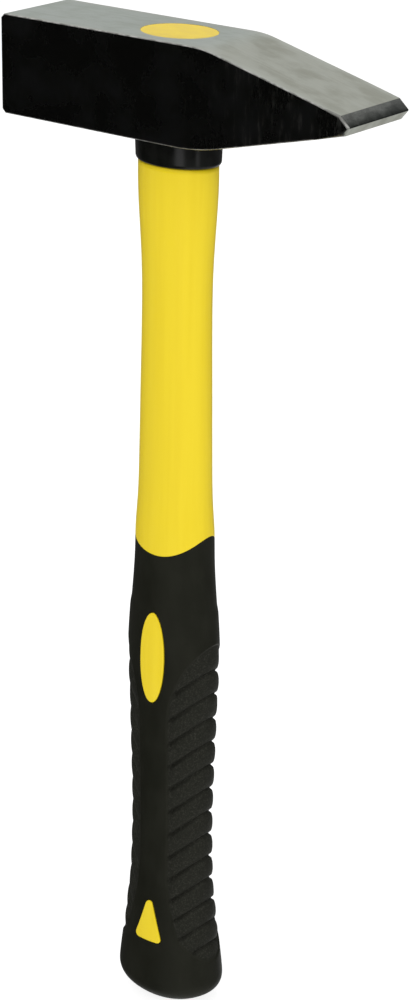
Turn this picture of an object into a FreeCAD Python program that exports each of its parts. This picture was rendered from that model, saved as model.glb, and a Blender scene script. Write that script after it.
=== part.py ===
"""Cross-pein engineer's hammer: forged head, fibreglass core, moulded jacket and rubber grip.

Millimetres. The origin is the centre of the eye at the head's top face, +Z points up out of
the head, -X towards the striking face, +X towards the pein, and the handle hangs down along -Z.
"""
import FreeCAD, Part
import math
import os

from FreeCAD import Vector

# Head: a square bar that narrows, seen from the side, to a cross pein
HEAD_WIDTH = 27.0
HEAD_DEPTH = 27.3
FACE_X = -51.0
TOP_BREAK_X = 18.0
BOTTOM_BREAK_X = 16.3
TOP_BREAK_RADIUS = 32.0
BOTTOM_BREAK_RADIUS = 63.0
PEIN_TOP = (61.4, -10.8)
PEIN_EDGE = (64.4, -13.5)
PEIN_BOTTOM = (62.6, -16.0)
FACE_CHAMFER = 1.1
EDGE_BREAK = 0.3

# Eye: an oval hourglass through the head
EYE_HALF_LENGTH = 11.1
EYE_HALF_WIDTH = 9.25
EYE_WAIST = 0.92
RESIN_CAP_DEPTH = 3.0

# Core rod
CORE_HALF_LENGTH = 7.6
CORE_HALF_WIDTH = 5.3
CORE_END_Z = -272.0

# Collar under the head
COLLAR_END_Z = -35.0
COLLAR_TOP_HALF = 13.2
COLLAR_END_HALF = 12.9
COLLAR_WALL = 2.2
COLLAR_ROUND = 1.3

# Handle: half-lengths of the oval section along X, from the collar to the widest part of the butt
HANDLE_PROFILE = [
    (-35.0, 12.15), (-44.0, 12.05), (-54.0, 11.45), (-64.0, 10.9), (-76.0, 10.75),
    (-100.0, 11.1), (-125.0, 11.5), (-133.0, 11.85), (-140.0, 12.4), (-148.0, 12.6),
    (-163.0, 13.6), (-178.0, 14.5), (-192.0, 14.55), (-210.0, 14.1), (-232.0, 13.6),
    (-250.0, 14.0), (-265.0, 15.1), (-275.0, 16.25), (-282.1, 16.95),
]
SHAFT_FLATNESS = 0.70
BUTT_FLATNESS = 0.75
FLATNESS_START_Z = -240.0
BUTT_CORNER_RADIUS = 5.0
BUTT_CROWN_RADIUS = 24.0

# Grip sleeve
SLEEVE_WALL = 2.0
SLEEVE_EDGE_LOW_Z = -146.5
EDGE_RADIUS_TO_PEIN = 16.0
EDGE_RADIUS_TO_FACE = 24.0
BOSS_RISE = 0.2

# Windows on both flanks
OVAL_CENTRE_Z = -177.6
OVAL_HALF_HEIGHT = 13.85
OVAL_HALF_WIDTH = 4.3
TRIANGLE_TOP_Z = -253.0
TRIANGLE_BASE_Z = -268.8
TRIANGLE_HALF_BASE = 5.1
TRIANGLE_ROUND = 1.25

# Ribbed panels round the two edges of the grip
PANEL_RECESS = 0.35
PANEL_EDGE_X = 5.0
PANEL_TOP_ARC = [(5.0, -199.0), (6.7, -187.5), (15.5, -172.0)]
PANEL_LOWER_ARC = [(5.0, -243.0), (6.35, -256.0), (9.98, -267.8)]
PANEL_FOOT_ARC = [(9.98, -267.8), (13.0, -271.8), (18.5, -276.8)]
GROOVE_COUNT = 13
GROOVE_FIRST_Z = -193.8
GROOVE_PITCH = 7.4
GROOVE_SLOPE = 0.84
GROOVE_WIDTH = 1.5
GROOVE_DEPTH = 1.0

# Derived places
HEAD_BOTTOM_Z = -HEAD_DEPTH
WIDEST_Z, WIDEST_HALF = HANDLE_PROFILE[-1]
BUTT_CORNER_X = WIDEST_HALF - BUTT_CORNER_RADIUS
BUTT_CROWN_Z = WIDEST_Z + math.sqrt((BUTT_CROWN_RADIUS - BUTT_CORNER_RADIUS) ** 2 - BUTT_CORNER_X ** 2)
BUTT_END_Z = BUTT_CROWN_Z - BUTT_CROWN_RADIUS
FAR = 60.0


def point(x, z):
    """A point of an outline drawn in the XZ plane."""
    return Vector(x, 0, z)


def polyline(points):
    """Straight edges through the points, in order."""
    return [Part.makeLine(point(*a), point(*b)) for a, b in zip(points, points[1:])]


def arc(start, middle, end):
    """A circular edge through three points."""
    return Part.Arc(point(*start), point(*middle), point(*end)).toShape()


def outline_face(edges):
    """The face inside a closed chain of edges."""
    return Part.Face(Part.Wire(Part.__sortEdges__(edges)))


def across(face, half_width=FAR):
    """The face pushed along Y, the same distance to both sides."""
    moved = face.translated(Vector(0, -half_width, 0))
    return moved.extrude(Vector(0, 2 * half_width, 0))


def rounded_outline(corners):
    """A closed outline from (x, z, radius) corners, with each corner rounded by a tangent arc."""
    edges = []
    ends = []
    count = len(corners)
    for index, (x, z, radius) in enumerate(corners):
        here = point(x, z)
        before = point(*corners[index - 1][:2])
        after = point(*corners[(index + 1) % count][:2])
        back = (before - here).normalize()
        forward = (after - here).normalize()
        if radius == 0:
            ends.append((here, here))
            continue
        half_angle = back.getAngle(forward) / 2
        reach = radius / math.tan(half_angle)
        start = here + back * reach
        end = here + forward * reach
        inward = (back + forward).normalize()
        middle = here + inward * (radius / math.sin(half_angle) - radius)
        edges.append(Part.Arc(start, middle, end).toShape())
        ends.append((start, end))
    for index in range(count):
        edges.append(Part.makeLine(ends[index][1], ends[(index + 1) % count][0]))
    return outline_face(edges)


def flatten(solid, ratio):
    """A round solid squeezed along Y into an oval one."""
    squeeze = FreeCAD.Matrix()
    squeeze.scale(1, ratio, 1)
    return solid.transformGeometry(squeeze)


def oval_turning(edges, ratio):
    """A profile turned about Z, then squeezed to an oval section."""
    turned = outline_face(edges).revolve(Vector(0, 0, 0), Vector(0, 0, 1), 360)
    return flatten(turned, ratio)


def oval_rod(half_length, half_width, z_low, z_high):
    """A straight rod of oval section."""
    rod = Part.makeCylinder(half_length, z_high - z_low, Vector(0, 0, z_low))
    return flatten(rod, half_width / half_length)


def slab(z_low, z_high):
    """Everything between two heights."""
    return Part.makeBox(2 * FAR, 2 * FAR, z_high - z_low, Vector(-FAR, -FAR, z_low))


def flatness(z):
    """Half-width of the handle's oval over its half-length: rounder towards the butt."""
    if z > FLATNESS_START_Z:
        return SHAFT_FLATNESS
    share = (FLATNESS_START_Z - z) / (FLATNESS_START_Z - WIDEST_Z)
    return SHAFT_FLATNESS + (BUTT_FLATNESS - SHAFT_FLATNESS) * share


def section(z, half_length, inset):
    """The handle's oval section at one height, drawn inwards by the inset."""
    half_width = half_length * flatness(z)
    centre = Vector(0, 0, z)
    along = Vector(half_length - inset, 0, z)
    side = Vector(0, half_width - inset, z)
    return Part.Wire(Part.Ellipse(along, side, centre).toShape())


def handle_body(inset=0.0):
    """The handle's outer form from the collar to its widest part, drawn inwards by the inset."""
    wires = [section(z, half, inset) for z, half in HANDLE_PROFILE]
    return Part.makeLoft(wires, True, False)


def butt_body(inset=0.0):
    """The end below the widest part: a crown with its rim rounded, drawn inwards by the inset."""
    half = WIDEST_HALF - inset
    corner = BUTT_CORNER_RADIUS - inset
    crown = BUTT_CROWN_RADIUS - inset
    lean = math.atan2(BUTT_CROWN_Z - WIDEST_Z, BUTT_CORNER_X)
    corner_middle = (BUTT_CORNER_X + corner * math.cos(lean / 2), WIDEST_Z - corner * math.sin(lean / 2))
    meeting = (crown * math.cos(lean), BUTT_CROWN_Z - crown * math.sin(lean))
    crown_angle = (lean + math.pi / 2) / 2
    crown_middle = (crown * math.cos(crown_angle), BUTT_CROWN_Z - crown * math.sin(crown_angle))
    end = (0, BUTT_CROWN_Z - crown)
    edges = [
        arc((half, WIDEST_Z), corner_middle, meeting),
        arc(meeting, crown_middle, end),
    ]
    edges += polyline([end, (0, WIDEST_Z), (half, WIDEST_Z)])
    half_width = WIDEST_HALF * BUTT_FLATNESS - inset
    return oval_turning(edges, half_width / half)


def handle_form(inset=0.0):
    """The whole outer form of the handle, drawn inwards by the inset."""
    return handle_body(inset).fuse(butt_body(inset))


def sleeve_edge(side, radius):
    """Start, middle and end of the arc that climbs from the middle plane to one side."""
    turns = [math.radians(degrees) for degrees in (0, 30, 60)]
    return [
        (side * radius * math.sin(turn), SLEEVE_EDGE_LOW_Z + radius * (1 - math.cos(turn)))
        for turn in turns
    ]


def sleeve_zone():
    """Where the grip sleeve lies: below its top edge, which climbs more steeply on the pein side."""
    to_pein = sleeve_edge(1, EDGE_RADIUS_TO_PEIN)
    to_face = sleeve_edge(-1, EDGE_RADIUS_TO_FACE)
    low = BUTT_END_Z - FAR
    edges = [arc(*to_pein), arc(*to_face)]
    edges += polyline([
        to_pein[-1], (FAR, to_pein[-1][1]), (FAR, low), (-FAR, low), (-FAR, to_face[-1][1]), to_face[-1],
    ])
    return across(outline_face(edges))


def windows():
    """Cutters through both flanks for the oval and the triangular windows."""
    oval = Part.Ellipse(point(0, OVAL_CENTRE_Z + OVAL_HALF_HEIGHT),
                        point(OVAL_HALF_WIDTH, OVAL_CENTRE_Z), point(0, OVAL_CENTRE_Z))
    oval_face = Part.Face(Part.Wire(oval.toShape()))
    triangle_face = rounded_outline([
        (0, TRIANGLE_TOP_Z, TRIANGLE_ROUND),
        (TRIANGLE_HALF_BASE, TRIANGLE_BASE_Z, TRIANGLE_ROUND),
        (-TRIANGLE_HALF_BASE, TRIANGLE_BASE_Z, TRIANGLE_ROUND),
    ])
    return [across(oval_face), across(triangle_face)]


def panel_zone(side):
    """The ribbed panel's outline pushed across the grip, on the +X (1) or -X (-1) side."""
    top = [(side * x, z) for x, z in PANEL_TOP_ARC]
    lower = [(side * x, z) for x, z in PANEL_LOWER_ARC]
    foot = [(side * x, z) for x, z in PANEL_FOOT_ARC]
    edges = [arc(*top), arc(*lower), arc(*foot)]
    edges += polyline([top[0], lower[0]])
    edges += polyline([foot[-1], (side * FAR, foot[-1][1]), (side * FAR, top[-1][1]), top[-1]])
    return across(outline_face(edges))


def grooves(side):
    """The slots between a panel's ribs: slanted slabs that climb towards the edge."""
    slots = []
    half = GROOVE_WIDTH / 2 * math.hypot(1, GROOVE_SLOPE)
    for index in range(GROOVE_COUNT):
        z = GROOVE_FIRST_Z - index * GROOVE_PITCH
        far_z = z + GROOVE_SLOPE * FAR
        corners = [(0, z - half), (side * FAR, far_z - half), (side * FAR, far_z + half), (0, z + half)]
        slots.append(across(outline_face(polyline(corners + corners[:1]))))
    return slots


def grip_skin():
    """The sleeve's outer form: smooth bands, and on each edge a recessed panel of ribs."""
    floor = handle_form(PANEL_RECESS + GROOVE_DEPTH)
    ribs = handle_form(PANEL_RECESS)
    smooth = handle_form()
    pieces = []
    for side in (1, -1):
        zone = panel_zone(side)
        smooth = smooth.cut(zone)
        pieces.append(ribs.common(zone).cut(grooves(side)))
    return floor.fuse([smooth] + pieces)


def core():
    """The glass-fibre rod."""
    return oval_rod(CORE_HALF_LENGTH, CORE_HALF_WIDTH, CORE_END_Z, -RESIN_CAP_DEPTH)


def eye_form():
    """The hourglass hole through the head, as a solid."""
    waist = EYE_HALF_LENGTH * EYE_WAIST
    edges = [arc((EYE_HALF_LENGTH, 0), (waist, HEAD_BOTTOM_Z / 2), (EYE_HALF_LENGTH, HEAD_BOTTOM_Z))]
    edges += polyline([(EYE_HALF_LENGTH, HEAD_BOTTOM_Z), (0, HEAD_BOTTOM_Z), (0, 0), (EYE_HALF_LENGTH, 0)])
    return oval_turning(edges, EYE_HALF_WIDTH / EYE_HALF_LENGTH)


def hammer_head():
    """The forged head with its edges broken and its eye cut through."""
    outline = rounded_outline([
        (FACE_X, -FACE_CHAMFER, 0),
        (FACE_X + FACE_CHAMFER, 0, 0),
        (TOP_BREAK_X, 0, TOP_BREAK_RADIUS),
        (*PEIN_TOP, 0),
        (*PEIN_EDGE, 0),
        (*PEIN_BOTTOM, 0),
        (BOTTOM_BREAK_X, HEAD_BOTTOM_Z, BOTTOM_BREAK_RADIUS),
        (FACE_X + FACE_CHAMFER, HEAD_BOTTOM_Z, 0),
        (FACE_X, HEAD_BOTTOM_Z + FACE_CHAMFER, 0),
    ])
    bar = across(outline, HEAD_WIDTH / 2)
    side_edges = [edge for edge in bar.Edges if edge.BoundBox.YLength < EDGE_BREAK]
    bar = bar.makeFillet(EDGE_BREAK, side_edges)
    return bar.cut(eye_form())


def top_resin_cap():
    """The filling that closes the eye, flush with the head's top."""
    return eye_form().common(slab(-RESIN_CAP_DEPTH, 0))


def bond_resin():
    """The epoxy between the core and the eye's wall."""
    return eye_form().common(slab(HEAD_BOTTOM_Z, -RESIN_CAP_DEPTH)).cut(core())


def collar_hole():
    """The jacket's straight stub inside the collar."""
    half = COLLAR_END_HALF - COLLAR_WALL
    return oval_rod(half, half * SHAFT_FLATNESS, COLLAR_END_Z, HEAD_BOTTOM_Z)


def neck_collar():
    """The ring under the head, with its lower rim rounded."""
    ring = rounded_outline([
        (0, HEAD_BOTTOM_Z, 0),
        (COLLAR_TOP_HALF, HEAD_BOTTOM_Z, 0),
        (COLLAR_END_HALF, COLLAR_END_Z, COLLAR_ROUND),
        (0, COLLAR_END_Z, 0),
    ])
    turned = ring.revolve(Vector(0, 0, 0), Vector(0, 0, 1), 360)
    return flatten(turned, SHAFT_FLATNESS).cut(collar_hole())


def filled_jacket():
    """The jacket with the core still in it: bare shaft, inner handle and window bosses."""
    bare = handle_body().cut(sleeve_zone())
    inner = handle_form(SLEEVE_WALL)
    boss_form = handle_body(-BOSS_RISE)
    bosses = [boss_form.common(window) for window in windows()]
    return bare.fuse([inner, collar_hole()] + bosses)


def handle_jacket(filled):
    """The yellow moulding over the core."""
    return filled.cut(core())


def grip_sleeve(filled):
    """The rubber sleeve over the lower handle."""
    return grip_skin().common(sleeve_zone()).cut(windows()).cut(filled)


def hammer_parts():
    """Every piece by name, each in its place."""
    filled = filled_jacket()
    return {
        "hammer_head": hammer_head(),
        "top_resin_cap": top_resin_cap(),
        "bond_resin": bond_resin(),
        "fibreglass_core": core(),
        "handle_jacket": handle_jacket(filled),
        "neck_collar": neck_collar(),
        "grip_sleeve": grip_sleeve(filled),
    }


def main():
    os.makedirs("parts", exist_ok=True)
    for name, shape in hammer_parts().items():
        print(name, len(shape.Solids), "solid", round(shape.Volume / 1000, 2), "cm3", shape.isValid())
        shape.exportStep(os.path.join("parts", name + ".step"))


main()
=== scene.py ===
import math

import bmesh
import bpy
import numpy as np
from mathutils import Matrix, Vector
from mathutils.bvhtree import BVHTree


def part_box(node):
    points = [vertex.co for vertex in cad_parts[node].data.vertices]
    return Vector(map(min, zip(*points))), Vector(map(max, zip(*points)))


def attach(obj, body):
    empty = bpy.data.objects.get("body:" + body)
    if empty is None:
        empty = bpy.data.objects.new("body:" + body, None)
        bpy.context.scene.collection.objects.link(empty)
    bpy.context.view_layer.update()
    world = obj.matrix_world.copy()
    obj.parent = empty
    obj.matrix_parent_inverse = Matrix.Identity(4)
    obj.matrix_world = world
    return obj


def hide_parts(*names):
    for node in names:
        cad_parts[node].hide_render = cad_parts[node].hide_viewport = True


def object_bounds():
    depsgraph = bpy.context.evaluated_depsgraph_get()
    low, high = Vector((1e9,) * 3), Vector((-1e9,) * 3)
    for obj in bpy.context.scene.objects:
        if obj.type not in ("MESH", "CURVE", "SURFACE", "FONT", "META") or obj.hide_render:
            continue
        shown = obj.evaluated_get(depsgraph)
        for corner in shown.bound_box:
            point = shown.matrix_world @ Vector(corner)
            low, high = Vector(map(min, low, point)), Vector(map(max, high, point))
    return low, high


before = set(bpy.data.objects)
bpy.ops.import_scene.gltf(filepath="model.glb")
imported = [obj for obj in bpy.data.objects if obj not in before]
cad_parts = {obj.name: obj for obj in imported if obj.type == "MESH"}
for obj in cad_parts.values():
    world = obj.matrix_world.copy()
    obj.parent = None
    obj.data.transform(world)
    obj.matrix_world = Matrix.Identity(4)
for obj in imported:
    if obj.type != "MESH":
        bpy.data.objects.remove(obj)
cad_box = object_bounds()

MM = 0.001

# Camera: at azimuth 0 it looks along +Y; it aims at a point beside the handle
CAMERA_AZIMUTH = 37.72
CAMERA_ELEVATION = 21.38
CAMERA_ROLL = 0.79
CAMERA_DISTANCE = 0.7625
CAMERA_AIM = Vector((0.0065, 0.0050, -0.1323))
CAMERA_LENS = 97.84

# Studio: a pale tent over a dark skirt and pale ground, soft boxes, and patches for the steel to mirror.
# The tent and the ground fade out between two angles from straight up and straight down.
TENT_LEVEL = 0.62
TENT_FADE = (72, 92)
SKIRT_LEVEL = 0.08
GROUND_LEVEL = 0.42
GROUND_FADE = (42, 62)
PATCHES = [
    # azimuth, elevation, angle inside which it is full, angle where it ends, level
    (-38, -21, 38, 62, 0.008),
    (148, 31, 16, 34, 0.10),
    (189, -42, 12, 26, 0.62),
    (6, -21, 5, 13, 0.80),
    (52, -21, 3, 8, 0.65),
]
SOFT_BOXES = [
    # azimuth, elevation, distance, size, power
    (25, 36, 2.0, 0.9, 9.8),
    (58, 25, 2.0, 0.7, 4.0),
    (30, 80, 2.0, 1.0, 12.0),
]
FLOOR_SIZE = 60.0
FLOOR_GLOW = 0.82

# Head: outline corners seen from the side, as in the CAD part
HEAD_WIDTH = 27.0 * MM
HEAD_DEPTH = 27.3 * MM
FACE_X = -51.0 * MM
TOP_BREAK_X = 18.0 * MM
BOTTOM_BREAK_X = 16.3 * MM
TOP_BREAK_RADIUS = 32.0 * MM
BOTTOM_BREAK_RADIUS = 63.0 * MM
PEIN_TOP = (61.4 * MM, -10.8 * MM)
PEIN_EDGE = (64.4 * MM, -13.5 * MM)
PEIN_BOTTOM = (62.6 * MM, -16.0 * MM)
FACE_CHAMFER = 1.1 * MM
CORNER_ROUND = 0.3 * MM

# The head's long edges: tight, looser at the nose, and loosest on the belly under the pein's edge
EDGE_ROUND = 0.3 * MM
NOSE_ROUND = 0.6 * MM
BELLY_ROUND = 1.3 * MM
NOSE_START_X = 54.0 * MM

# Finishes on the head, one of them the steel with a painted dark reflection on sides and downward faces,
# and how far a normal turns sideways or down before its face takes one
GROUND, PAINTED_DARK, EDGE, BEVEL = range(4)
FLAT_SIDE = 0.995
BELLY_SIDE = 0.7
EDGE_SIDE = 0.02
DOWNWARD = -0.2
SHARP_ANGLE = 38

# Eye: an oval hourglass through the head, closed by a resin cap
EYE_HALF_LENGTH = 11.1 * MM
EYE_HALF_WIDTH = 9.25 * MM
EYE_WAIST = 0.92
CAP_DEPTH = 3.0 * MM
CAP_DISH = 0.17 * MM
CAP_RIM_Z = -0.05 * MM
CAP_GAP = 0.01 * MM

# Collar under the head
COLLAR_TOP_HALF = 13.2 * MM
COLLAR_END_HALF = 12.9 * MM
COLLAR_INNER_HALF = 10.7 * MM
COLLAR_END_Z = -35.0 * MM
COLLAR_ROUND = 1.3 * MM
COLLAR_TOP_ROUND = 0.25 * MM

# Handle: heights, and the flatness of its oval section
SKIN_TOP_Z = COLLAR_END_Z
WIDEST_Z = -282.1 * MM
SHAFT_FLATNESS = 0.70
BUTT_FLATNESS = 0.75
FLATNESS_START_Z = -240.0 * MM
SLEEVE_WALL = 2.0 * MM
POLE_GAP = 0.5 * MM    # hidden surfaces stop this far short of the butt's pole
UNDER_DEPTH = SLEEVE_WALL + 0.05 * MM

# Grip sleeve's top edge: seen from the flank, an arc that climbs from the middle to each side, and
# rows below it that follow it less and less between two distances
SLEEVE_EDGE_LOW_Z = -146.5 * MM
EDGE_RADIUS_TO_PEIN = 16.0 * MM
EDGE_RADIUS_TO_FACE = 24.0 * MM
EDGE_FADE = (2.0 * MM, 22.0 * MM)
PARTING_ROUND = 0.25 * MM

# Windows, and the bosses that fill them
OVAL_CENTRE_Z = -177.6 * MM
OVAL_HALF_HEIGHT = 13.85 * MM
OVAL_HALF_WIDTH = 4.3 * MM
TRIANGLE_TOP_Z = -253.0 * MM
TRIANGLE_BASE_Z = -268.8 * MM
TRIANGLE_HALF_BASE = 5.1 * MM
TRIANGLE_ROUND = 1.25 * MM
BOSS_RISE = 0.2 * MM
BOSS_ROUND = 0.35 * MM
BOSS_GAP = 0.05 * MM
BOSS_FOOT_DEPTH = SLEEVE_WALL + 0.3 * MM
LIP_ROUND = 0.3 * MM
WINDOW_DEPTH = SLEEVE_WALL - 0.2 * MM

# Ribbed panels
PANEL_RECESS = 0.35 * MM
PANEL_EDGE_X = 5.0 * MM
PANEL_TOP_Z = -199.0 * MM
PANEL_TOP_RADIUS = 40.0 * MM
PANEL_LOW_Z = -243.0 * MM
PANEL_LOW_RADIUS = 64.0 * MM
PANEL_FOOT = (9.98 * MM, -267.8 * MM)
PANEL_FOOT_SLOPE = 1.12
PANEL_TOP_LEAN = 1.25
PANEL_FOOT_LEAN = 1.35
GROOVE_COUNT = 13
GROOVE_FIRST_Z = -193.8 * MM
GROOVE_PITCH = 7.4 * MM
GROOVE_SLOPE = 0.84
GROOVE_HALF = 0.40 * MM
GROOVE_DEPTH = 0.80 * MM
SHOULDER_HALF = 1.3 * MM
SHOULDER_DEPTH = 0.45 * MM


# ---------------------------------------------------------------- material helpers

def material(name, roughness, metallic=0.0, specular=0.5):
    """A new material, with its node tree and its shader."""
    item = bpy.data.materials.new(name)
    item.use_nodes = True
    shader = item.node_tree.nodes["Principled BSDF"]
    shader.inputs["Roughness"].default_value = roughness
    shader.inputs["Metallic"].default_value = metallic
    shader.inputs["Specular IOR Level"].default_value = specular
    return item, item.node_tree, shader


def noise(tree, size, detail=3.0, roughness=0.55, offset=0.0):
    """Noise in object space; size gives the grain in metres along X, Y and Z."""
    place = tree.nodes.new("ShaderNodeTexCoord")
    mapping = tree.nodes.new("ShaderNodeMapping")
    mapping.inputs["Scale"].default_value = [1 / length for length in size]
    mapping.inputs["Location"].default_value = (offset, 2 * offset, 3 * offset)
    texture = tree.nodes.new("ShaderNodeTexNoise")
    texture.inputs["Scale"].default_value = 1.0
    texture.inputs["Detail"].default_value = detail
    texture.inputs["Roughness"].default_value = roughness
    tree.links.new(place.outputs["Object"], mapping.inputs["Vector"])
    tree.links.new(mapping.outputs["Vector"], texture.inputs["Vector"])
    return texture.outputs["Fac"]


def span(tree, value, low, high, out_low=0.0, out_high=1.0):
    """A value stretched from one range to another, with smooth clamped ends."""
    node = tree.nodes.new("ShaderNodeMapRange")
    node.interpolation_type = "SMOOTHSTEP"
    limits = {"From Min": low, "From Max": high, "To Min": out_low, "To Max": out_high}
    for name, number in limits.items():
        node.inputs[name].default_value = number
    tree.links.new(value, node.inputs["Value"])
    return node.outputs["Result"]


def combine(tree, operation, first, second):
    """Arithmetic on two values, either of which may be a plain number."""
    node = tree.nodes.new("ShaderNodeMath")
    node.operation = operation
    for socket, value in zip(node.inputs, (first, second)):
        if isinstance(value, (int, float)):
            socket.default_value = value
        else:
            tree.links.new(value, socket)
    return node.outputs["Value"]


def mix(tree, share, first, second):
    """A colour between two colours, each a triple or a socket."""
    node = tree.nodes.new("ShaderNodeMix")
    node.data_type = "RGBA"
    tree.links.new(share, node.inputs["Factor"])
    # Several sockets share a name, one for each data type; the enabled ones are the colours
    first_socket, second_socket = [s for s in node.inputs if s.enabled and s.name in "AB"]
    for socket, value in ((first_socket, first), (second_socket, second)):
        if isinstance(value, tuple):
            socket.default_value = (*value, 1.0)
        else:
            tree.links.new(value, socket)
    return next(s for s in node.outputs if s.enabled)


def bump(tree, shader, height, distance, strength=1.0):
    """Fine relief on a shader, after any relief it already has."""
    node = tree.nodes.new("ShaderNodeBump")
    node.inputs["Distance"].default_value = distance
    node.inputs["Strength"].default_value = strength
    tree.links.new(height, node.inputs["Height"])
    before = shader.inputs["Normal"]
    if before.is_linked:
        tree.links.new(before.links[0].from_socket, node.inputs["Normal"])
    tree.links.new(node.outputs["Normal"], shader.inputs["Normal"])


def place_along(tree, axis):
    """A point's place along one axis of object space, in metres."""
    place = tree.nodes.new("ShaderNodeTexCoord")
    parts = tree.nodes.new("ShaderNodeSeparateXYZ")
    tree.links.new(place.outputs["Object"], parts.inputs["Vector"])
    return parts.outputs[axis]


def attribute(tree, name):
    """A number stored on the mesh."""
    node = tree.nodes.new("ShaderNodeAttribute")
    node.attribute_name = name
    return node.outputs["Fac"]


# ---------------------------------------------------------------- materials

def ground_steel():
    """Top, pein and striking face: cloudy satin steel, warmer on the pein, with faint lines along it and
    a painted highlight that lightens it towards both long edges.
    """
    item, tree, shader = material("steel_ground", 0.33, metallic=1.0)
    lines = noise(tree, (45 * MM, 0.9 * MM, 45 * MM), detail=4.0, roughness=0.6)
    scratches = noise(tree, (9 * MM, 0.25 * MM, 9 * MM), detail=2.0, offset=5.0)
    cloud = noise(tree, (9 * MM, 6 * MM, 9 * MM), detail=4.0, offset=9.0)
    clouded = span(tree, cloud, 0.38, 0.66)
    cool = mix(tree, clouded, (0.63, 0.70, 0.645), (0.55, 0.61, 0.545))
    warm = mix(tree, clouded, (0.56, 0.575, 0.495), (0.45, 0.455, 0.375))
    tint = mix(tree, span(tree, place_along(tree, "X"), 12 * MM, 24 * MM), cool, warm)
    lined = mix(tree, span(tree, lines, 0.30, 0.72), (0.44, 0.46, 0.41), (0.60, 0.64, 0.58))
    share = span(tree, scratches, 0.30, 0.70, 0.12, 0.38)
    plain = mix(tree, share, tint, lined)
    # painted highlight: the colour turns lighter towards both long edges
    from_middle = combine(tree, "ABSOLUTE", place_along(tree, "Y"), 0.0)
    edge_painted_highlight = span(tree, from_middle, 10 * MM, HEAD_WIDTH / 2, 0.0, 0.65)
    tree.links.new(mix(tree, edge_painted_highlight, plain, (0.64, 0.67, 0.60)), shader.inputs["Base Color"])
    tree.links.new(span(tree, cloud, 0.30, 0.70, 0.28, 0.40), shader.inputs["Roughness"])
    bump(tree, shader, lines, 0.03 * MM, 0.12)
    bump(tree, shader, cloud, 0.15 * MM, 0.5)
    bump(tree, shader, scratches, 0.008 * MM, 0.4)
    return item


def painted_dark_steel():
    """Sides and underside: the steel with a painted dark reflection and shade in its colour, and short
    upright grinding streaks towards the pein.
    """
    item, tree, shader = material("steel_painted_dark", 0.30, metallic=1.0)
    streaks = noise(tree, (0.7 * MM, 9 * MM, 5 * MM), detail=4.0, roughness=0.65)
    cloud = noise(tree, (12 * MM, 12 * MM, 12 * MM), detail=3.0, offset=4.0)
    specks = noise(tree, (0.5 * MM, 0.5 * MM, 0.8 * MM), detail=1.0, offset=7.0)
    towards_pein = span(tree, place_along(tree, "X"), 10 * MM, 48 * MM, 0.08, 0.8)
    streaked = combine(tree, "MULTIPLY", span(tree, streaks, 0.50, 0.76), towards_pein)
    # painted dark reflection and shade: a much darker copy of the ground steel's colour for the sides
    # and underside
    base = mix(tree, span(tree, cloud, 0.35, 0.70), (0.17, 0.172, 0.152), (0.20, 0.205, 0.205))
    tree.links.new(mix(tree, streaked, base, (0.50, 0.50, 0.46)), shader.inputs["Base Color"])
    rough = combine(tree, "ADD", span(tree, cloud, 0.30, 0.70, 0.24, 0.32),
                    combine(tree, "MULTIPLY", streaked, 0.22))
    tree.links.new(rough, shader.inputs["Roughness"])
    bump(tree, shader, streaks, 0.02 * MM, 0.3)
    bump(tree, shader, specks, 0.01 * MM, 0.3)
    return item


def edge_steel():
    """Rounded edges of bright, scuffed steel, lighter than the painted dark reflection on the sides."""
    item, tree, shader = material("steel_edge", 0.36, metallic=0.85)
    wear = noise(tree, (3 * MM, 1.5 * MM, 3 * MM), detail=4.0, offset=2.0)
    worn = mix(tree, span(tree, wear, 0.38, 0.66), (0.30, 0.30, 0.28), (0.74, 0.74, 0.71))
    tree.links.new(worn, shader.inputs["Base Color"])
    bump(tree, shader, wear, 0.02 * MM, 0.4)
    return item


def bevel_steel():
    """The pein's upper bevel: a mirror-like grind with a painted reflection in its colour, near-white at
    the top, darker and mottled towards the pein's edge, and darker towards the far end.
    """
    item, tree, shader = material("steel_bevel", 0.20, metallic=1.0)
    lines = noise(tree, (0.35 * MM, 18 * MM, 0.35 * MM), detail=3.0)
    cloud = noise(tree, (4 * MM, 5 * MM, 3 * MM), detail=3.0, offset=3.0)
    # painted reflection: the colour runs from near-black low on the bevel to near-white at its top,
    # mottled by the cloud
    height = combine(tree, "ADD", place_along(tree, "Z"), combine(tree, "MULTIPLY", cloud, 2.6 * MM))
    painted_reflection = mix(tree, span(tree, height, PEIN_EDGE[1] + 0.9 * MM, PEIN_TOP[1] + 1.6 * MM),
                   (0.10, 0.115, 0.10), (0.92, 0.95, 0.90))
    # painted reflection: the colour turns darker towards the far end
    far_end_painted_dark = span(tree, place_along(tree, "Y"), -10 * MM, HEAD_WIDTH / 2, 0.0, 0.35)
    tree.links.new(mix(tree, far_end_painted_dark, painted_reflection, (0.20, 0.22, 0.22)), shader.inputs["Base Color"])
    tree.links.new(span(tree, cloud, 0.30, 0.70, 0.16, 0.27), shader.inputs["Roughness"])
    bump(tree, shader, lines, 0.01 * MM, 0.4)
    bump(tree, shader, cloud, 0.10 * MM, 0.4)
    return item


def cap_resin():
    """Poured yellow resin in the eye: slightly milky, with a few pinholes."""
    item, tree, shader = material("resin_cap", 0.42, specular=0.25)
    cloud = noise(tree, (5 * MM, 4 * MM, 5 * MM), detail=3.0)
    holes = noise(tree, (0.7 * MM, 0.7 * MM, 0.7 * MM), detail=1.0, offset=6.0)
    pinholes = span(tree, holes, 0.74, 0.80)
    base = mix(tree, span(tree, cloud, 0.3, 0.7), (0.85, 0.62, 0.045), (0.89, 0.68, 0.08))
    tree.links.new(mix(tree, pinholes, base, (0.62, 0.42, 0.04)), shader.inputs["Base Color"])
    tree.links.new(span(tree, cloud, 0.3, 0.7, 0.30, 0.46), shader.inputs["Roughness"])
    bump(tree, shader, cloud, 0.06 * MM, 0.4)
    bump(tree, shader, pinholes, -0.05 * MM, 0.6)
    return item


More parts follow.
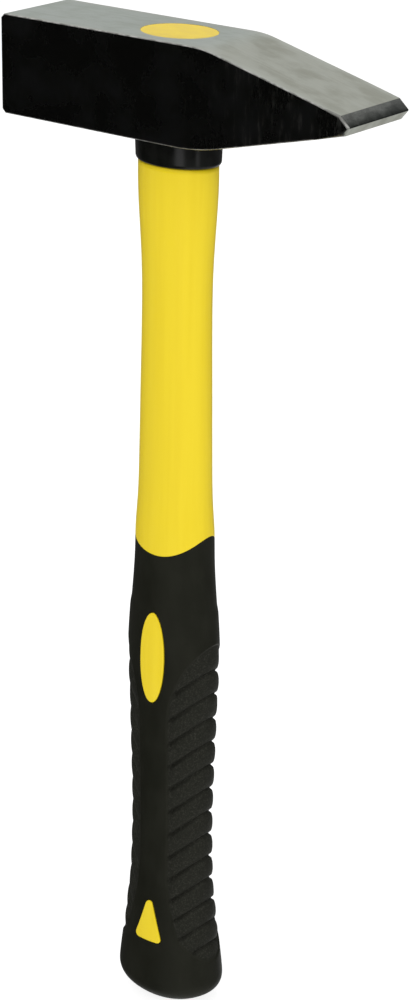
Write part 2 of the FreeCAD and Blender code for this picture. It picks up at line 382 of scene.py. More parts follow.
def jacket_plastic():
    """Yellow moulded plastic: satin, with faint flow marks along the handle."""
    item, tree, shader = material("plastic_yellow", 0.36, specular=0.35)
    flow = noise(tree, (2.2 * MM, 2.2 * MM, 70 * MM), detail=3.0)
    peel = noise(tree, (1.6 * MM, 1.6 * MM, 1.6 * MM), detail=2.0, offset=3.0)
    scuffs = noise(tree, (0.5 * MM, 0.5 * MM, 7 * MM), detail=2.0, offset=8.0)
    base = mix(tree, span(tree, flow, 0.3, 0.7), (0.80, 0.602, 0.011), (0.825, 0.630, 0.015))
    scuffed = span(tree, scuffs, 0.66, 0.80, 0.0, 0.20)
    tree.links.new(mix(tree, scuffed, base, (0.92, 0.75, 0.08)), shader.inputs["Base Color"])
    tree.links.new(span(tree, peel, 0.3, 0.7, 0.30, 0.42), shader.inputs["Roughness"])
    bump(tree, shader, peel, 0.012 * MM, 0.5)
    bump(tree, shader, flow, 0.05 * MM, 0.15)
    return item


def collar_plastic():
    """Black glossy plastic with a little handling haze."""
    item, tree, shader = material("plastic_black", 0.18)
    haze = noise(tree, (3 * MM, 3 * MM, 6 * MM), detail=3.0)
    peel = noise(tree, (0.9 * MM, 0.9 * MM, 0.9 * MM), detail=2.0, offset=2.0)
    base = mix(tree, span(tree, haze, 0.35, 0.7), (0.0035, 0.0038, 0.0032), (0.0065, 0.0068, 0.006))
    tree.links.new(base, shader.inputs["Base Color"])
    tree.links.new(span(tree, haze, 0.3, 0.7, 0.15, 0.22), shader.inputs["Roughness"])
    bump(tree, shader, peel, 0.006 * MM, 0.4)
    return item


def grip_rubber():
    """Black rubber: matte and smooth on the bands, with a spark-eroded grain on the ribs."""
    item, tree, shader = material("rubber_black", 0.55, specular=0.33)
    shader.inputs["Specular Tint"].default_value = (1.0, 1.0, 0.86, 1.0)
    ribbed = attribute(tree, "panel")
    cloud = noise(tree, (8 * MM, 8 * MM, 14 * MM), detail=3.0)
    grain = noise(tree, (0.42 * MM, 0.42 * MM, 0.42 * MM), detail=2.0, roughness=0.7, offset=4.0)
    fine = noise(tree, (0.16 * MM, 0.16 * MM, 0.16 * MM), detail=1.0, offset=7.0)
    smooth = mix(tree, span(tree, cloud, 0.3, 0.7), (0.0080, 0.0084, 0.0055), (0.0110, 0.0114, 0.0078))
    speckled = mix(tree, span(tree, grain, 0.45, 0.75), (0.0092, 0.0096, 0.0072), (0.030, 0.030, 0.024))
    tree.links.new(mix(tree, ribbed, smooth, speckled), shader.inputs["Base Color"])
    rough = combine(tree, "ADD", span(tree, cloud, 0.3, 0.7, 0.46, 0.56),
                    combine(tree, "MULTIPLY", ribbed, 0.10))
    tree.links.new(rough, shader.inputs["Roughness"])
    grained = combine(tree, "MULTIPLY", grain, ribbed)
    bump(tree, shader, grained, 0.09 * MM, 0.8)
    bump(tree, shader, fine, 0.012 * MM, 0.35)
    return item


def core_fibreglass():
    """Pale green-white pultruded rod, with its strands along Z."""
    item, tree, shader = material("fibreglass", 0.45)
    strands = noise(tree, (0.35 * MM, 0.35 * MM, 30 * MM), detail=3.0)
    base = mix(tree, strands, (0.55, 0.58, 0.42), (0.78, 0.80, 0.66))
    tree.links.new(base, shader.inputs["Base Color"])
    bump(tree, shader, strands, 0.03 * MM)
    return item


def bond_epoxy():
    """Amber bonding resin."""
    item, tree, shader = material("epoxy_amber", 0.30)
    cloud = noise(tree, (4 * MM, 4 * MM, 4 * MM))
    base = mix(tree, cloud, (0.42, 0.22, 0.04), (0.62, 0.38, 0.09))
    tree.links.new(base, shader.inputs["Base Color"])
    bump(tree, shader, cloud, 0.05 * MM)
    return item


def studio_floor():
    """Near-white paper that glows a little, so that it stays pale up to its edge."""
    item, tree, shader = material("floor_paper", 0.9, specular=0.1)
    fibres = noise(tree, (4 * MM, 4 * MM, 4 * MM), detail=2.0)
    base = mix(tree, fibres, (0.42, 0.42, 0.42), (0.44, 0.44, 0.44))
    tree.links.new(base, shader.inputs["Base Color"])
    shader.inputs["Emission Color"].default_value = (1, 1, 1, 1)
    shader.inputs["Emission Strength"].default_value = FLOOR_GLOW
    return item


# ---------------------------------------------------------------- studio

def heading(azimuth, elevation):
    """The direction from the object towards an azimuth and elevation in degrees."""
    turn, lift = math.radians(azimuth), math.radians(elevation)
    return Vector((math.sin(turn) * math.cos(lift), -math.cos(turn) * math.cos(lift), math.sin(lift)))


def add_camera():
    """The camera, turned round its aim and rolled about its own axis."""
    back = heading(CAMERA_AZIMUTH, CAMERA_ELEVATION)
    level = heading(CAMERA_AZIMUTH + 90, 0)
    upright = back.cross(level)
    roll = math.radians(CAMERA_ROLL)
    right = level * math.cos(roll) + upright * math.sin(roll)
    up = upright * math.cos(roll) - level * math.sin(roll)
    data = bpy.data.cameras.new("camera")
    data.lens = CAMERA_LENS
    data.clip_start = 0.01
    item = bpy.data.objects.new("camera", data)
    bpy.context.collection.objects.link(item)
    turned = Matrix((right, up, back)).transposed().to_4x4()
    item.matrix_world = Matrix.Translation(CAMERA_AIM + back * CAMERA_DISTANCE) @ turned
    bpy.context.scene.camera = item


def add_soft_box(azimuth, elevation, distance, size, power):
    """A square soft light that faces the object; polished faces mirror only the world."""
    back = heading(azimuth, elevation)
    data = bpy.data.lights.new("soft_box", "AREA")
    data.shape = "SQUARE"
    data.size = size
    data.energy = power
    item = bpy.data.objects.new("soft_box", data)
    bpy.context.collection.objects.link(item)
    item.location = CAMERA_AIM + back * distance
    item.rotation_euler = back.to_track_quat("Z", "Y").to_euler()
    item.visible_glossy = False


def near_direction(tree, direction, toward, inner, outer):
    """1 where a direction is within the inner angle of another, fading to 0 at the outer angle."""
    node = tree.nodes.new("ShaderNodeVectorMath")
    node.operation = "DOT_PRODUCT"
    node.inputs[1].default_value = toward
    tree.links.new(direction, node.inputs[0])
    full = math.cos(math.radians(inner))
    gone = math.cos(math.radians(outer))
    return span(tree, node.outputs["Value"], gone, full)


def add_world():
    """A tent above, a skirt round the horizon, ground below, then the patches; the camera sees white."""
    world = bpy.data.worlds.new("studio")
    bpy.context.scene.world = world
    world.use_nodes = True
    world.cycles.sampling_method = "NONE"
    tree = world.node_tree
    direction = tree.nodes.new("ShaderNodeTexCoord").outputs["Generated"]
    below = near_direction(tree, direction, heading(0, -90), *GROUND_FADE)
    above = near_direction(tree, direction, heading(0, 90), *TENT_FADE)
    colour = mix(tree, below, (SKIRT_LEVEL,) * 3, (GROUND_LEVEL,) * 3)
    colour = mix(tree, above, colour, (TENT_LEVEL,) * 3)
    for azimuth, elevation, inner, outer, level in PATCHES:
        share = near_direction(tree, direction, heading(azimuth, elevation), inner, outer)
        colour = mix(tree, share, colour, (level,) * 3)
    seen = tree.nodes.new("ShaderNodeLightPath").outputs["Is Camera Ray"]
    tree.links.new(mix(tree, seen, colour, (1.0, 1.0, 1.0)), tree.nodes["Background"].inputs["Color"])


def add_floor():
    """The floor under the butt; mirrored rays pass it, so that the steel mirrors the world below."""
    height = cad_box[0][2]
    half = FLOOR_SIZE / 2
    corners = [(x * half, y * half, height) for x, y in ((-1, -1), (1, -1), (1, 1), (-1, 1))]
    floor = new_object("floor", corners, [(0, 1, 2, 3)], studio_floor())
    floor.visible_glossy = False


# ---------------------------------------------------------------- mesh helpers

def new_object(name, vertices, faces, finish):
    """A smooth-shaded mesh object with outward normals, from plain lists."""
    mesh = bpy.data.meshes.new(name)
    mesh.from_pydata([tuple(v) for v in vertices], [], faces)
    work = bmesh.new()
    work.from_mesh(mesh)
    bmesh.ops.recalc_face_normals(work, faces=work.faces)
    work.to_mesh(mesh)
    work.free()
    mesh.shade_smooth()
    mesh.materials.append(finish)
    item = bpy.data.objects.new(name, mesh)
    bpy.context.collection.objects.link(item)
    return item


def band_faces(rows, columns, first=0):
    """Four-sided faces between neighbouring rings of points; first is the first point's index."""
    faces = []
    for row in range(rows - 1):
        a = first + row * columns
        b = a + columns
        faces += [(a + c, b + c, b + (c + 1) % columns, a + (c + 1) % columns) for c in range(columns)]
    return faces


def closed_tube(rings, first=0):
    """Vertices and faces of a tube through rings of points, closed by a fan at each end."""
    rows, columns = rings.shape[:2]
    vertices = list(rings.reshape(-1, 3)) + [rings[0].mean(0), rings[-1].mean(0)]
    faces = band_faces(rows, columns, first)
    start_tip = first + rows * columns
    last = first + (rows - 1) * columns
    faces += [(first + (c + 1) % columns, start_tip, first + c) for c in range(columns)]
    faces += [(last + c, start_tip + 1, last + (c + 1) % columns) for c in range(columns)]
    return vertices, faces


def smoothstep(low, high, value):
    """0 below low, 1 above high, and a smooth climb between."""
    share = np.clip((value - low) / (high - low), 0, 1)
    return share * share * (3 - 2 * share)


def round_over(distance, radius):
    """Depth of a rounded edge: the radius at the edge, nothing from one radius away."""
    inside = np.clip(radius - distance, 0, radius)
    return radius - np.sqrt(radius * radius - inside * inside)


def oval_rings(profile, flat, columns):
    """Oval rings from (half-length, z) pairs; flat is the half-width over the half-length."""
    angle = np.linspace(0, 2 * math.pi, columns, endpoint=False)
    across = np.cos(angle)
    through = flat * np.sin(angle)
    return np.array([np.stack([half * across, half * through, np.full(columns, z)], -1)
                     for half, z in profile])


def rounded_corners(corners, steps, between=0):
    """Points of an outline with (x, z, radius) corners, and extra points on its straight sides."""
    arcs = []
    count = len(corners)
    for index, (x, z, radius) in enumerate(corners):
        here = Vector((x, z))
        back = (Vector(corners[index - 1][:2]) - here).normalized()
        forward = (Vector(corners[(index + 1) % count][:2]) - here).normalized()
        if radius == 0:
            arcs.append([here])
            continue
        half_angle = back.angle(forward) / 2
        centre = here + (back + forward).normalized() * (radius / math.sin(half_angle))
        start = (here + back * (radius / math.tan(half_angle)) - centre).normalized()
        end = (here + forward * (radius / math.tan(half_angle)) - centre).normalized()
        arcs.append([centre + start.slerp(end, step / steps) * radius for step in range(steps + 1)])
    points = []
    for arc, after in zip(arcs, arcs[1:] + arcs[:1]):
        points += arc
        points += [arc[-1].lerp(after[0], step / (between + 1)) for step in range(1, between + 1)]
    return points


# ---------------------------------------------------------------- the handle's skin

def flatness(z):
    """Half-width over half-length of the handle's oval."""
    share = np.clip((FLATNESS_START_Z - z) / (FLATNESS_START_Z - WIDEST_Z), 0, 1)
    return SHAFT_FLATNESS + (BUTT_FLATNESS - SHAFT_FLATNESS) * share


def cad_tree(names):
    """A ray tree over some CAD nodes."""
    vertices = []
    faces = []
    for name in names:
        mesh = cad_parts[name].data
        first = len(vertices)
        vertices += [v.co.copy() for v in mesh.vertices]
        faces += [[first + i for i in p.vertices] for p in mesh.polygons]
    return BVHTree.FromPolygons(vertices, faces)


def measured_profile():
    """Half-lengths and heights of the handle's skin, read off the CAD from the neck to the pole."""
    tree = cad_tree(["handle_jacket", "grip_sleeve"])
    reach = 50 * MM
    looks_round = 72
    looks_down = 40
    halves = []
    heights = []
    for z in np.arange(SKIN_TOP_Z - 0.2 * MM, WIDEST_Z, -1.0 * MM):
        flat = float(flatness(z))
        found = []
        for angle in np.linspace(0, 2 * math.pi, looks_round, endpoint=False):
            out = Vector((math.cos(angle), math.sin(angle), 0))
            hit = tree.ray_cast(out * reach + Vector((0, 0, z)), -out)[0]
            found.append(math.hypot(hit.x, hit.y / flat))
        halves.append(max(found))
        heights.append(z)
    for angle in np.linspace(0, math.pi / 2, looks_down):
        out = Vector((math.cos(angle), 0, -math.sin(angle)))
        hit = tree.ray_cast(out * reach + Vector((0, 0, WIDEST_Z)), -out)[0]
        halves.append(abs(hit.x))
        heights.append(hit.z)
    return np.array(halves), np.array(heights)


def smooth_profile():
    """The measured profile, evenly spaced, with the facets of the CAD mesh evened out."""
    halves, heights = measured_profile()
    step = 0.25 * MM
    reach = 8
    length = np.concatenate([[0], np.cumsum(np.hypot(np.diff(halves), np.diff(heights)))])
    places = np.linspace(0, length[-1], int(length[-1] / step))
    half = np.interp(places, length, halves)
    z = np.interp(places, length, heights)
    kernel = np.hanning(2 * reach + 3)[1:-1]
    kernel /= kernel.sum()
    padded_half = np.concatenate([2 * half[0] - half[reach:0:-1], half, -half[-2:-reach - 2:-1]])
    padded_z = np.concatenate([2 * z[0] - z[reach:0:-1], z, z[-2:-reach - 2:-1]])
    half = np.convolve(padded_half, kernel, "valid")
    z = np.convolve(padded_z, kernel, "valid")
    half[-1] = 0
    return places, half, z


PROFILE_S, PROFILE_HALF, PROFILE_Z = smooth_profile()
SKIN_LENGTH = PROFILE_S[-1]


def s_at(z):
    """Distance along the profile at a height."""
    return np.interp(-z, -PROFILE_Z, PROFILE_S)


def skin_place(s, angle):
    """Points of the smooth skin: s along the profile, angle round the oval."""
    half = np.interp(s, PROFILE_S, PROFILE_HALF)
    z = np.interp(s, PROFILE_S, PROFILE_Z)
    return np.stack([half * np.cos(angle), half * flatness(z) * np.sin(angle), z], -1)


def skin_points(s, angle, depth):
    """Points at a depth under the smooth skin, straight up at the pole, where it has no normal."""
    step = 0.3 * MM
    turn = 0.01
    tiny = 1e-12
    lower = skin_place(np.minimum(s + step, SKIN_LENGTH - 0.001 * MM), angle)
    upper = skin_place(np.maximum(s - step, 0), angle)
    around = skin_place(s, angle + turn) - skin_place(s, angle - turn)
    normal = np.cross(lower - upper, around)
    size = np.linalg.norm(normal, axis=-1, keepdims=True)
    normal = np.where(size > tiny, normal / np.maximum(size, tiny), np.array([0.0, 0.0, -1.0]))
    return skin_place(s, angle) - normal * np.asarray(depth)[..., None]


def flank_place(x, z, side):
    """(s, angle) of the skin's point with an x and z on the -Y (-1) or +Y (1) flank."""
    s = s_at(z)
    half = np.interp(s, PROFILE_S, PROFILE_HALF)
    return s, side * np.arccos(np.clip(x / half, -1, 1))


def round_angles(columns):
    """Angles round the oval, spaced more evenly along its outline than equal steps are."""
    shift = 0.12
    even = np.arange(columns) / columns * 2 * math.pi
    return even + shift * np.sin(2 * even)


def sleeve_edge_s(angle):
    """Distance along the profile to the sleeve's top edge, at an angle."""
    x = np.interp(s_at(SLEEVE_EDGE_LOW_Z), PROFILE_S, PROFILE_HALF) * np.cos(angle)
    radius = np.where(x > 0, EDGE_RADIUS_TO_PEIN, EDGE_RADIUS_TO_FACE)
    return s_at(SLEEVE_EDGE_LOW_Z + radius - np.sqrt(radius ** 2 - x ** 2))


def follow_edge(rows, edge_s):
    """Rows of s that start on the sleeve's edge and level out further down."""
    level = s_at(SLEEVE_EDGE_LOW_Z)
    relax = 1 - smoothstep(*EDGE_FADE, rows)
    return level + rows[:, None] + (edge_s - level)[None, :] * relax[:, None]


# ---------------------------------------------------------------- windows, panels and the sleeve

def polygon_distance(x, z, corners):
    """Signed distance to a convex polygon, negative inside."""
    nearest = np.full(np.shape(x), 1.0)
    inside = np.full(np.shape(x), True)
    for (ax, az), (bx, bz) in zip(corners, corners[1:] + corners[:1]):
        ex, ez = bx - ax, bz - az
        share = np.clip(((x - ax) * ex + (z - az) * ez) / (ex * ex + ez * ez), 0, 1)
        nearest = np.minimum(nearest, np.hypot(x - ax - share * ex, z - az - share * ez))
        inside &= (x - ax) * ez - (z - az) * ex >= 0
    return np.where(inside, -nearest, nearest)


def triangle_corners(shrink):
    """The triangle window's sharp corners, moved in by a distance from every side."""
    tall = TRIANGLE_TOP_Z - TRIANGLE_BASE_Z
    apex = TRIANGLE_TOP_Z - shrink * math.hypot(tall, TRIANGLE_HALF_BASE) / TRIANGLE_HALF_BASE
    base = TRIANGLE_BASE_Z + shrink
    half = (apex - base) * TRIANGLE_HALF_BASE / tall
    return [(0, apex), (half, base), (-half, base)]


def triangle_distance(x, z):
    """Signed distance to the round-cornered triangle window."""
    return polygon_distance(x, z, triangle_corners(TRIANGLE_ROUND)) - TRIANGLE_ROUND


def oval_distance(x, z):
    """Signed distance to the oval window, close to its edge."""
    u = x / OVAL_HALF_WIDTH
    v = (z - OVAL_CENTRE_Z) / OVAL_HALF_HEIGHT
    size = np.hypot(u, v)
    slope = np.hypot(u / OVAL_HALF_WIDTH, v / OVAL_HALF_HEIGHT)
    return (size - 1) * size / np.maximum(slope, 1e-9)


def panel_edge(z):
    """Distance of a panel's outline from the middle plane, at a height."""
    rise = np.clip(z - PANEL_TOP_Z, 0, PANEL_TOP_RADIUS)
    top = PANEL_TOP_RADIUS - np.sqrt(PANEL_TOP_RADIUS ** 2 - rise ** 2)
    fall = np.clip(PANEL_LOW_Z - z, 0, PANEL_LOW_RADIUS)
    low = PANEL_LOW_RADIUS - np.sqrt(PANEL_LOW_RADIUS ** 2 - fall ** 2)
    foot = np.where(z < PANEL_FOOT[1], PANEL_FOOT[0] + (PANEL_FOOT[1] - z) / PANEL_FOOT_SLOPE, 0)
    return np.maximum(PANEL_EDGE_X + top + low, foot)


def panel_inset(x, z):
    """How far inside a ribbed panel a point lies, negative outside; less where the outline leans."""
    inset = np.abs(x) - panel_edge(z)
    lean = np.where(z > PANEL_TOP_Z, PANEL_TOP_LEAN, np.where(z < PANEL_FOOT[1], PANEL_FOOT_LEAN, 1.0))
    return inset / lean


def panel_depth(x, z):
    """How far the ribbed panels lie under the smooth skin."""
    inset = panel_inset(x, z)
    recess = PANEL_RECESS * smoothstep(-0.15 * MM, 0.30 * MM, inset)
    offset = GROOVE_FIRST_Z + GROOVE_SLOPE * np.abs(x) - z
    index = np.clip(np.round(offset / GROOVE_PITCH), 0, GROOVE_COUNT - 1)
    distance = np.abs(offset - index * GROOVE_PITCH) / math.hypot(1, GROOVE_SLOPE)
    groove = (GROOVE_DEPTH * np.exp(-(distance / GROOVE_HALF) ** 2)
              + SHOULDER_DEPTH * np.exp(-(distance / SHOULDER_HALF) ** 2))
    return recess + groove * smoothstep(0.1 * MM, 0.8 * MM, inset)


def sleeve_depth(x, z, from_edge):
    """Depth of the sleeve's surface under the smooth skin."""
    depth = panel_depth(x, z)
    for distance in (oval_distance(x, z), triangle_distance(x, z)):
        lip = round_over(np.maximum(distance, 0), LIP_ROUND)
        wall = np.where(distance < -0.001 * MM, WINDOW_DEPTH, 0)
        depth = np.maximum(depth, np.maximum(lip, wall))
    return np.maximum(depth, round_over(from_edge, PARTING_ROUND))


def snap_to_windows(s, angle, reach):
    """Grid places with those close to a window's outline moved onto it, so that its edge is clean."""
    point = skin_place(s, angle)
    x, z = point[..., 0], point[..., 2]
    side = np.sign(np.sin(angle))
    step = 0.05 * MM
    for distance in (oval_distance, triangle_distance):
        gap = distance(x, z)
        near = np.abs(gap) < reach
        slope_x = (distance(x + step, z) - distance(x - step, z)) / (2 * step)
        slope_z = (distance(x, z + step) - distance(x, z - step)) / (2 * step)
        new_s, new_angle = flank_place(x - gap * slope_x, z - gap * slope_z, side)
        s = np.where(near, new_s, s)
        angle = np.where(near, new_angle, angle)
    return s, angle


def grip_sleeve():
    """The rubber sleeve: panels, grooves and window lips as real shape, with an inner wall."""
    columns = 320
    crown_rows = 34
    inner_rows = 46
    spacing = 0.25 * MM
    level = s_at(SLEEVE_EDGE_LOW_Z)
    turn = round_angles(columns)
    edge_s = sleeve_edge_s(turn)
    lip = np.array([0, 0.02, 0.06, 0.12, 0.20, 0.35, 0.6, 0.85]) * MM
    body = np.arange(1.1 * MM, s_at(WIDEST_Z) - level + 1 * MM, spacing)
    crown = np.linspace(body[-1] + spacing, SKIN_LENGTH - level - 0.3 * MM, crown_rows)
    s = follow_edge(np.concatenate([lip, body, crown]), edge_s)
    angle = np.broadcast_to(turn, s.shape)
    from_edge = s - edge_s
    s, angle = snap_to_windows(s, angle, reach=0.48 * spacing)
    place = skin_place(s, angle)
    outer = skin_points(s, angle, sleeve_depth(place[..., 0], place[..., 2], from_edge))
    inner_s = follow_edge(np.linspace(0, SKIN_LENGTH - level - POLE_GAP, inner_rows), edge_s)
    inner_angle = np.broadcast_to(turn, inner_s.shape)
    inner = skin_points(inner_s, inner_angle, np.full(inner_s.shape, SLEEVE_WALL))
    rings = np.concatenate([inner[::-1], outer])
    item = new_object("grip_sleeve_rubber", *closed_tube(rings), grip_rubber())
    # How far each point belongs to a ribbed panel, for the rubber's grain
    panel = np.zeros(len(item.data.vertices), np.float32)
    shown = smoothstep(0.1 * MM, 0.5 * MM, panel_inset(place[..., 0], place[..., 2])).ravel()
    start = inner_rows * columns
    panel[start:start + shown.size] = shown
    item.data.attributes.new("panel", "FLOAT", "POINT").data.foreach_set("value", panel)
    return item


# ---------------------------------------------------------------- the jacket

def oval_outline():
    """Points round the oval window."""
    turn = np.linspace(0, 2 * math.pi, 96, endpoint=False)
    x = OVAL_HALF_WIDTH * np.cos(turn)
    z = OVAL_CENTRE_Z + OVAL_HALF_HEIGHT * np.sin(turn)
    return np.stack([x, z], -1)


def triangle_outline():
    """Points round the triangle window, its straight sides divided."""
    spacing = 0.5 * MM
    corners = [(x, z, TRIANGLE_ROUND) for x, z in triangle_corners(0)]
    points = [np.array(p) for p in rounded_corners(corners, steps=8)]
    outline = []
    for here, after in zip(points, points[1:] + points[:1]):
        pieces = max(1, int(np.linalg.norm(after - here) / spacing))
        outline += [here + (after - here) * piece / pieces for piece in range(pieces)]
    return np.array(outline)


def boss_rings(outline, side):
    """A boss as rings from its middle out to its rounded rim and down its wall."""
    centre = outline.mean(0)
    size = np.linalg.norm(outline - centre, axis=1)
    rim = np.array([0.7, 0.5, 0.35, 0.24, 0.15, 0.08, 0.03, 0]) * MM
    inner = [centre + (outline - centre) * share for share in (0.04, 0.25, 0.45, 0.62)]
    outer = [centre + (outline - centre) * (1 - (BOSS_GAP + edge) / size)[:, None] for edge in rim]
    depths = [0] * len(inner) + list(round_over(rim, BOSS_ROUND)) + [BOSS_FOOT_DEPTH]
    rings = []
    for points, depth in zip(inner + outer + [outer[-1]], depths):
        s, angle = flank_place(points[:, 0], points[:, 1], side)
        rings.append(skin_points(s, angle, np.full(len(points), depth - BOSS_RISE)))
    return np.array(rings)


def handle_jacket():
    """The yellow moulding: a stub in the collar, the shaft, the handle under the sleeve, the bosses."""
    columns = 144
    shaft_rows = 90
    under_rows = 60
    turn = round_angles(columns)
    edge_s = sleeve_edge_s(turn)
    top = skin_place(np.zeros(columns), turn)
    stub = top * (COLLAR_INNER_HALF / PROFILE_HALF[0])
    stub_rings = []
    for z in (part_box("handle_jacket")[1].z, SKIN_TOP_Z):
        ring = stub.copy()
        ring[:, 2] = z
        stub_rings.append(ring)
    lip = np.array([0.35, 0.2, 0.12, 0.06, 0.02, 0]) * MM
    shaft_s = np.linspace(0, 1, shaft_rows)[:, None] * (edge_s - 0.8 * MM)[None, :]
    lip_s = edge_s[None, :] - lip[:, None]
    shaft = skin_points(shaft_s, np.broadcast_to(turn, shaft_s.shape), np.zeros(shaft_s.shape))
    lip_depth = np.broadcast_to(round_over(lip, PARTING_ROUND)[:, None], lip_s.shape)
    rim = skin_points(lip_s, np.broadcast_to(turn, lip_s.shape), lip_depth)
    under_length = SKIN_LENGTH - s_at(SLEEVE_EDGE_LOW_Z) - POLE_GAP
    under_s = follow_edge(np.linspace(0, under_length, under_rows), edge_s)
    under_angle = np.broadcast_to(turn, under_s.shape)
    under = skin_points(under_s, under_angle, np.full(under_s.shape, UNDER_DEPTH))
    vertices, faces = closed_tube(np.concatenate([np.array(stub_rings), shaft, rim, under]))
    for side in (-1, 1):
        for outline in (oval_outline(), triangle_outline()):
            more, more_faces = closed_tube(boss_rings(outline, side), len(vertices))
            vertices += more
            faces += more_faces
    return new_object("handle_jacket_shell", vertices, faces, jacket_plastic())


# ---------------------------------------------------------------- collar, cap and head

def neck_collar():
    """The ring under the head, closed across its hidden bore: a slight taper and a rounded lower rim."""
    outline = rounded_corners([
        (COLLAR_INNER_HALF, -HEAD_DEPTH, 0),
        (COLLAR_TOP_HALF, -HEAD_DEPTH, COLLAR_TOP_ROUND),
        (COLLAR_END_HALF, COLLAR_END_Z, COLLAR_ROUND),
        (COLLAR_INNER_HALF, COLLAR_END_Z, 0),
    ], steps=8)
    rings = oval_rings([(p.x, p.y) for p in outline], SHAFT_FLATNESS, columns=160)
    return new_object("neck_collar_ring", *closed_tube(rings), collar_plastic())


def top_resin_cap():
    """The resin in the eye: dished in the middle, level with the steel at its rim."""
    shares = np.linspace(0.03, 0.97, 14)
    profile = [(EYE_HALF_LENGTH * share, CAP_RIM_Z - CAP_DISH * (1 - share ** 5)) for share in shares]
    profile += [
        (EYE_HALF_LENGTH - 0.08 * MM, CAP_RIM_Z),
        (EYE_HALF_LENGTH - CAP_GAP, -0.16 * MM),
        (EYE_HALF_LENGTH - CAP_GAP, -0.4 * MM),
        (EYE_HALF_LENGTH * 0.985, -CAP_DEPTH),
    ]
    rings = oval_rings(profile, EYE_HALF_WIDTH / EYE_HALF_LENGTH, columns=120)
    return new_object("eye_resin_cap", *closed_tube(rings), cap_resin())


def eye_cutter():
    """The hourglass that cuts the eye, a little longer than the head is deep."""
    overshoot = 1 * MM
    sag = EYE_HALF_LENGTH * (1 - EYE_WAIST)
    profile = [(EYE_HALF_LENGTH, overshoot)]
    for share in np.linspace(0, 1, 9):
        waist = sag * (1 - (2 * share - 1) ** 2)
        profile.append((EYE_HALF_LENGTH - waist, -HEAD_DEPTH * share))
    profile.append((EYE_HALF_LENGTH, -HEAD_DEPTH - overshoot))
    rings = oval_rings(profile, EYE_HALF_WIDTH / EYE_HALF_LENGTH, columns=120)
    return new_object("eye_cutter", *closed_tube(rings), edge_steel())


def inset_polygon(corners, inset):
    """Corners of a convex polygon whose sides are all moved inwards."""
    lines = []
    for (ax, az), (bx, bz) in zip(corners, corners[1:] + corners[:1]):
        along = Vector((bx - ax, bz - az)).normalized()
        inward = Vector((along.y, -along.x))
        lines.append((Vector((ax, az)) + inward * inset, along))
    moved = []
    for (before, before_along), (after, after_along) in zip(lines[-1:] + lines[:-1], lines):
        cross = before_along.cross(after_along)
        reach = (after - before).cross(after_along) / cross
        moved.append(before + before_along * reach)
    return moved


def head_section(inset):
    """The head's side outline, drawn in by the inset."""
    outline = [
        (FACE_X, -FACE_CHAMFER, CORNER_ROUND),
        (FACE_X + FACE_CHAMFER, 0, CORNER_ROUND),
        (TOP_BREAK_X, 0, TOP_BREAK_RADIUS),
        (*PEIN_TOP, CORNER_ROUND),
        (*PEIN_EDGE, CORNER_ROUND),
        (*PEIN_BOTTOM, CORNER_ROUND),
        (BOTTOM_BREAK_X, -HEAD_DEPTH, BOTTOM_BREAK_RADIUS),
        (FACE_X + FACE_CHAMFER, -HEAD_DEPTH, CORNER_ROUND),
        (FACE_X, FACE_CHAMFER - HEAD_DEPTH, CORNER_ROUND),
    ]
    places = inset_polygon([corner[:2] for corner in outline], inset)
    corners = [(*place, corner[2]) for place, corner in zip(places, outline)]
    return rounded_corners(corners, steps=6, between=8)


def edge_radius(x, z):
    """Radius of the head's long edges at a place."""
    nose = smoothstep(NOSE_START_X, PEIN_TOP[0], x)
    below = smoothstep(PEIN_EDGE[1], PEIN_BOTTOM[1], z)
    loose = NOSE_ROUND + (BELLY_ROUND - NOSE_ROUND) * below
    return EDGE_ROUND + (loose - EDGE_ROUND) * nose


def head_ring(turn):
    """The head's outline where its side edge has turned by an angle."""
    ring = []
    for here, inner in zip(head_section(0), head_section(MM)):
        radius = float(edge_radius(here.x, here.y))
        place = here + (inner - here) * (radius / MM * (1 - math.sin(turn)))
        ring.append((place.x, HEAD_WIDTH / 2 - radius * (1 - math.cos(turn)), place.y))
    return ring


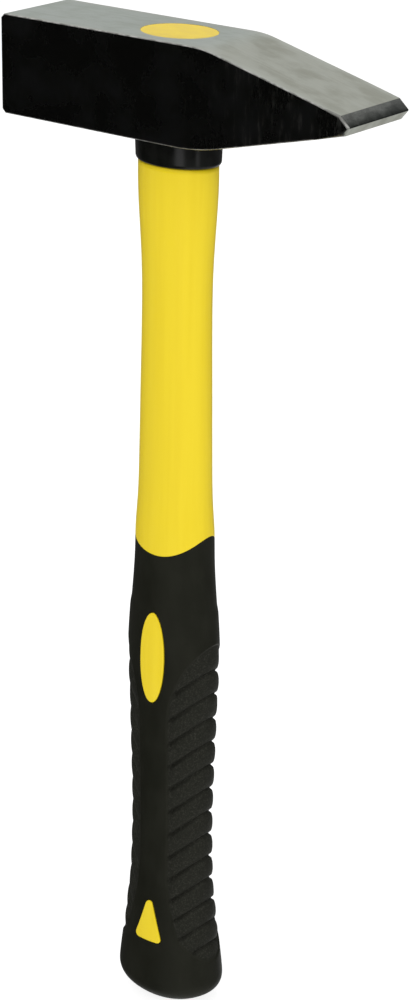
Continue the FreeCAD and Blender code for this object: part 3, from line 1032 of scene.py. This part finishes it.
def head_finish(polygon):
    """The finish of one of the head's faces, from where it is and which way it looks; sides and downward
    faces take the painted dark reflection.
    """
    normal, centre = polygon.normal, polygon.center
    margin = 0.1 * MM
    belly = centre.x > NOSE_START_X and centre.z < PEIN_EDGE[1] - CORNER_ROUND
    # sides and downward-looking faces take the steel with a painted dark reflection and shade
    if abs(normal.y) > (BELLY_SIDE if belly else FLAT_SIDE):
        return PAINTED_DARK
    if belly and centre.x > PEIN_BOTTOM[0] - CORNER_ROUND:
        return GROUND
    if abs(normal.y) > EDGE_SIDE:
        return EDGE
    if centre.x > PEIN_TOP[0] + margin:
        return BEVEL
    return PAINTED_DARK if normal.z < DOWNWARD else GROUND


def hammer_head():
    """The forged head: a rounded prism with an eye cut through it, and a finish for each face."""
    rings = [head_ring(math.radians(turn)) for turn in range(0, 91, 18)]
    rings += [[(x, -y, z) for x, y, z in ring] for ring in reversed(rings)]
    columns = len(rings[0])
    vertices = [v for ring in rings for v in ring]
    flanks = [tuple(range(columns)), tuple(range(len(vertices) - columns, len(vertices)))]
    faces = flanks + band_faces(len(rings), columns)
    item = new_object("head_steel_body", vertices, faces, ground_steel())
    cutter = eye_cutter()
    cut = item.modifiers.new("eye", "BOOLEAN")
    cut.operation = "DIFFERENCE"
    cut.solver = "EXACT"
    cut.object = cutter
    solid = bpy.data.meshes.new_from_object(item.evaluated_get(bpy.context.evaluated_depsgraph_get()))
    item.modifiers.clear()
    item.data = solid
    bpy.data.objects.remove(cutter)
    solid.materials.clear()
    for finish in (ground_steel(), painted_dark_steel(), edge_steel(), bevel_steel()):
        solid.materials.append(finish)
    for polygon in solid.polygons:
        polygon.material_index = head_finish(polygon)
    solid.shade_smooth()
    solid.set_sharp_from_angle(angle=math.radians(SHARP_ANGLE))
    even = item.modifiers.new("even_normals", "WEIGHTED_NORMAL")
    even.keep_sharp = True
    return item


# ---------------------------------------------------------------- assembly

def stand_in(piece, node):
    """A piece that stands for a CAD node and rides on the one body."""
    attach(piece, "root")
    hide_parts(node)


def refinish(node, finish):
    """A new material on a CAD node that stays."""
    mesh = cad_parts[node].data
    mesh.materials.clear()
    mesh.materials.append(finish)


bpy.context.scene.view_settings.view_transform = "Standard"
add_camera()
add_world()
add_floor()
for box in SOFT_BOXES:
    add_soft_box(*box)
stand_in(hammer_head(), "hammer_head")
stand_in(top_resin_cap(), "top_resin_cap")
stand_in(neck_collar(), "neck_collar")
stand_in(handle_jacket(), "handle_jacket")
stand_in(grip_sleeve(), "grip_sleeve")
refinish("fibreglass_core", core_fibreglass())
refinish("bond_resin", bond_epoxy())
